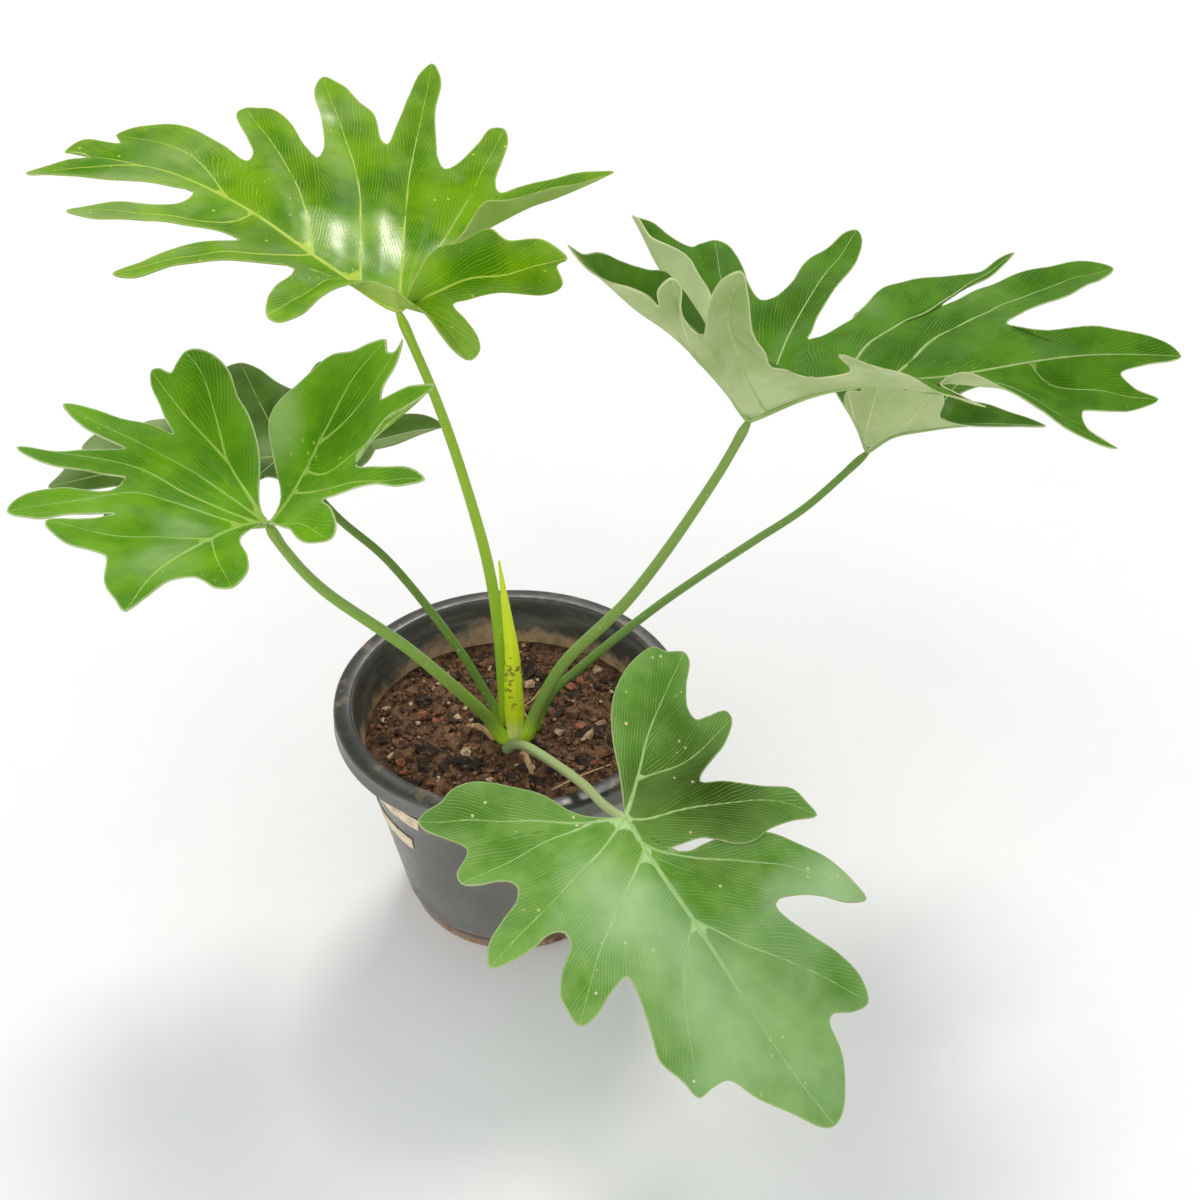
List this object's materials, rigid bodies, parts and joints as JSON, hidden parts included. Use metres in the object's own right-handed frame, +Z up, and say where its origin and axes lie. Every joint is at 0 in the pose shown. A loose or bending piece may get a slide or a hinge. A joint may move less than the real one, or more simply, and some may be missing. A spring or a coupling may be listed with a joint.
{
  "type": "potted plant",
  "caption": "Potted foliage plant: long-stalked, deeply lobed leaves on arching stems from a short crown in a round nursery pot full of soil.",
  "frame": {"origin": "centre of the pot's base, on the surface that it stands on", "axes": "+Z up along the pot's axis, -Y towards the viewer of the picture, +X to the viewer's right"},
  "size_m": [0.7568, 0.5361, 0.5746],
  "materials": {
    "pot_plastic": "satin black moulded plastic",
    "soil": "damp dark brown potting mix with bark",
    "crown": "pale green fleshy stem",
    "sheath": "smooth yellow-green sheath",
    "label_paper": "cream paper, blank",
    "blade_a": "glossy young leaf",
    "stem_a": "smooth fleshy leaf stalk",
    "blade_b": "mid green leaf with pale veins",
    "stem_b": "smooth fleshy leaf stalk",
    "blade_c": "dark green leaf",
    "stem_c": "smooth fleshy leaf stalk",
    "blade_d": "mid green leaf, paler below",
    "stem_d": "smooth fleshy leaf stalk",
    "blade_e": "green leaf, paler below",
    "stem_e": "smooth fleshy leaf stalk",
    "blade_f": "dull grey-green leaf",
    "stem_f": "smooth fleshy leaf stalk"
  },
  "bodies": {
    "root": {"pot": "pot_plastic", "soil": "soil", "crown": "crown", "spear": "sheath", "label_upper": "label_paper", "label_lower": "label_paper", "stalk_a": "stem_a", "leaf_a": "blade_a", "stalk_b": "stem_b", "leaf_b": "blade_b", "stalk_c": "stem_c", "leaf_c": "blade_c", "stalk_d": "stem_d", "leaf_d": "blade_d", "stalk_e": "stem_e", "leaf_e": "blade_e", "stalk_f": "stem_f", "leaf_f": "blade_f"}
  },
  "joints": []
}
